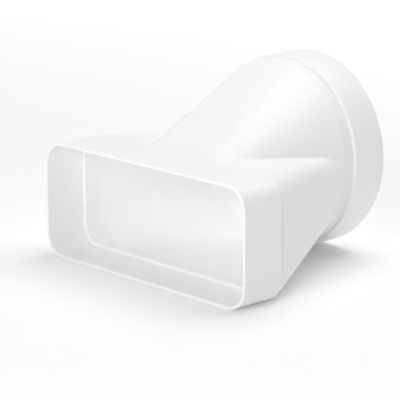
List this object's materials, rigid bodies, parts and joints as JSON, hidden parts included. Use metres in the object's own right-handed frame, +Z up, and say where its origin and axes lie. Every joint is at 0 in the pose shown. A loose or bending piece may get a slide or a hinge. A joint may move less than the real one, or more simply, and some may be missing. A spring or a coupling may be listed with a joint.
{
  "type": "eccentric duct reducer",
  "caption": "Eccentric reducer that joins a flat rectangular duct to a round duct with a level underside, in white plastic.",
  "frame": {"origin": "bottom centre of the bounding box, on the level underside", "axes": "+X across the flat duct, +Y along the duct towards the round collar, +Z up"},
  "size_m": [0.2266, 0.1874, 0.158],
  "materials": {
    "shell": "satin white moulded ABS",
    "cement": "cured solvent cement"
  },
  "bodies": {
    "root": {"flat_socket": "shell", "transition_body": "shell", "round_collar": "shell", "flat_joint_cement": "cement", "round_joint_cement": "cement"}
  },
  "joints": []
}
